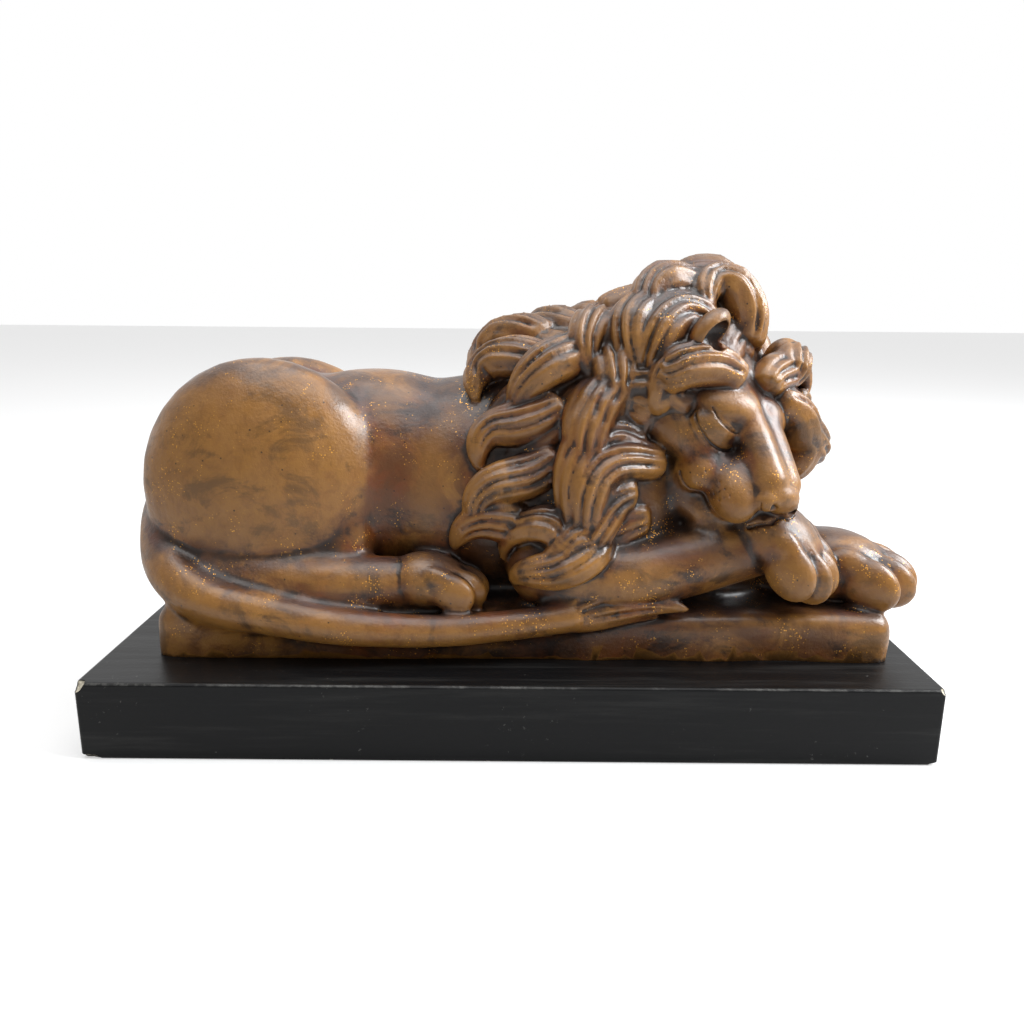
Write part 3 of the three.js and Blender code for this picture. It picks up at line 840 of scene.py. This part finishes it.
def black_paint(finishes):
    """Satin black paint brushed along a wooden block over a pale ground, which shows where it is chipped."""
    box = Paintbox("satin_black_painted_wood")
    rubbed, chipped = box.attribute("rubbed"), box.attribute("chipped")
    streak = box.noise(4 * MM, 5, 0.6, 0.2, (0.06, 1, 1))
    speck = box.noise(1.4 * MM, 3, 0.6)
    patch = box.noise(14 * MM, 5, 0.6, 0.4)
    colour = box.mix(box.ramp(streak, 0.45, 0.8, 0, 0.18), finishes.black, finishes.scuff)
    dull = box.math("MULTIPLY", box.ramp(speck, 0.66, 0.72), box.ramp(patch, 0.52, 0.62))
    colour = box.mix(box.math("MULTIPLY", dull, 0.5), colour, finishes.scuff)
    wear = box.math("MULTIPLY", box.ramp(rubbed, 0.35, 0.95), box.ramp(patch, 0.42, 0.56))
    wear = box.math("MULTIPLY", wear, box.ramp(speck, 0.4, 0.55, 0.3, 1))
    colour = box.mix(box.math("MULTIPLY", wear, 0.8), colour, finishes.scuff)
    colour = box.mix(box.math("MULTIPLY", chipped, box.ramp(speck, 0.3, 0.6, 0.7, 1)), colour, finishes.filler)
    rough = box.math("ADD", box.ramp(streak, 0.3, 0.7, 0.3, 0.42), box.math("MULTIPLY", chipped, 0.4))
    normal = box.bump(streak, 0.12 * MM, 0.6)
    normal = box.bump(speck, 0.05 * MM, 0.6, normal)
    box.tree.links.new(colour, box.shader.inputs["Base Color"])
    box.tree.links.new(rough, box.shader.inputs["Roughness"])
    box.tree.links.new(normal, box.shader.inputs["Normal"])
    box.shader.inputs["IOR"].default_value = 1.32
    return box.material


def pale_floor(finishes):
    box = Paintbox("matt_white_paper")
    box.shader.inputs["Base Color"].default_value = box.colour(finishes.floor)
    box.shader.inputs["Roughness"].default_value = 0.9
    seen = add(box.tree, "ShaderNodeLightPath").outputs["Is Camera Ray"]
    box.shader.inputs["Emission Color"].default_value = (1, 1, 1, 1)
    box.tree.links.new(box.math("MULTIPLY", seen, 0.45), box.shader.inputs["Emission Strength"])
    return box.material


def hand_over(piece, node, material):
    """Gives a finished piece its material and its place in the frame."""
    piece.data.materials.clear()
    piece.data.materials.append(material)
    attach(piece, "root")
    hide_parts(node)


class LION_OT_cast(bpy.types.Operator):
    """Models the lion with its slab of ground and paints it"""

    bl_idname = "lion.cast"
    bl_label = "Cast the lion"

    def execute(self, context):
        clay = model_lion(context.scene.lion_sizes)
        finish_lion(clay, context.scene.lion_sizes)
        hand_over(clay, "lion", patinated_cast(context.scene.lion_finishes))
        return {"FINISHED"}


class LION_OT_plinth(bpy.types.Operator):
    """Makes the black block that the casting stands on"""

    bl_idname = "lion.plinth"
    bl_label = "Make the plinth"

    def execute(self, context):
        block = model_plinth(context.scene.plinth_sizes)
        hand_over(block, "plinth", black_paint(context.scene.lion_finishes))
        return {"FINISHED"}


def softbox(name, at, aim, size, power, colour):
    bpy.ops.object.light_add(type="AREA", location=at)
    lamp = bpy.context.object
    lamp.name = name
    lamp.data.size = size
    lamp.data.energy = power
    lamp.data.color = colour
    lamp.rotation_euler = (Vector(aim) - Vector(at)).to_track_quat("-Z", "Y").to_euler()


def white_room():
    """A white wall behind the object and a dim room in front of it."""
    world = bpy.data.worlds.new("white room")
    world.use_nodes = True
    tree = world.node_tree
    ahead = add(tree, "ShaderNodeSeparateXYZ", {0: add(tree, "ShaderNodeTexCoord").outputs["Generated"]}).outputs["Y"]
    wall = add(tree, "ShaderNodeMapRange", {"Value": ahead, "From Min": -0.3, "From Max": 0.3, "To Min": 0.3, "To Max": 1})
    seen = add(tree, "ShaderNodeLightPath").outputs["Is Camera Ray"]
    bright = add(tree, "ShaderNodeMath", {0: wall.outputs["Result"], 1: seen}, operation="MAXIMUM").outputs[0]
    tree.links.new(bright, tree.nodes["Background"].inputs["Strength"])
    tree.nodes["Background"].inputs["Color"].default_value = (1, 1, 1, 1)
    return world


class LION_OT_stage(bpy.types.Operator):
    """Lays the pale floor, sets the soft lights and stands the camera where the photographer stood"""

    bl_idname = "lion.stage"
    bl_label = "Set the stage"

    def execute(self, context):
        bpy.ops.object.select_all(action="DESELECT")
        bpy.ops.mesh.primitive_plane_add(size=6, location=(0, 0, PLINTH_LOW.z))
        floor = bpy.context.object
        floor.name = "floor"
        floor.data.materials.append(pale_floor(context.scene.lion_finishes))
        floor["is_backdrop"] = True
        softbox("window", (0.6, -0.05, 0.5), (0, 0, 0.03), 0.4, 9, (0.94, 0.97, 1))
        softbox("ceiling", (0, -0.1, 0.9), (0, 0, 0.04), 0.9, 7, (1, 1, 1))
        context.scene.world = white_room()
        context.scene.view_settings.view_transform = "Standard"
        bpy.ops.object.camera_add(location=(0.0001, -0.2505, 0.1163))
        camera = bpy.context.object
        camera.data.lens = 30.45
        camera.data.sensor_width = 36
        camera.data.clip_start = 0.01
        camera.rotation_euler = Euler((math.radians(90 - 13.985), 0, 0), "XYZ")
        camera.rotation_euler.rotate_axis("Z", math.radians(0.474))
        context.scene.camera = camera
        return {"FINISHED"}


class LION_PT_panel(bpy.types.Panel):
    bl_label = "Lion ornament"
    bl_idname = "LION_PT_panel"
    bl_space_type = "VIEW_3D"
    bl_region_type = "UI"
    bl_category = "Lion"

    def draw(self, context):
        for group in ("lion_sizes", "plinth_sizes", "lion_finishes"):
            settings = getattr(context.scene, group)
            for name in settings.bl_rna.properties.keys():
                if name not in ("rna_type", "name"):
                    self.layout.prop(settings, name)
        for operator in OPERATORS:
            self.layout.operator(operator.bl_idname)


GROUPS = {"lion_sizes": LionSizes, "plinth_sizes": PlinthSizes, "lion_finishes": Finishes}
OPERATORS = (LION_OT_cast, LION_OT_plinth, LION_OT_stage)


def register():
    for kind in (*GROUPS.values(), *OPERATORS, LION_PT_panel):
        bpy.utils.register_class(kind)
    for name, kind in GROUPS.items():
        setattr(bpy.types.Scene, name, PointerProperty(type=kind))


def unregister():
    for name in GROUPS:
        delattr(bpy.types.Scene, name)
    for kind in (LION_PT_panel, *reversed(OPERATORS), *GROUPS.values()):
        bpy.utils.unregister_class(kind)


def main():
    register()
    bpy.ops.lion.cast()
    bpy.ops.lion.plinth()
    bpy.ops.lion.stage()
    box = lambda corners: [list(corner) for corner in corners]
    {"cad": box(CAD_BOX), "visual": box(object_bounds())}


if __name__ == "__main__":
    main()
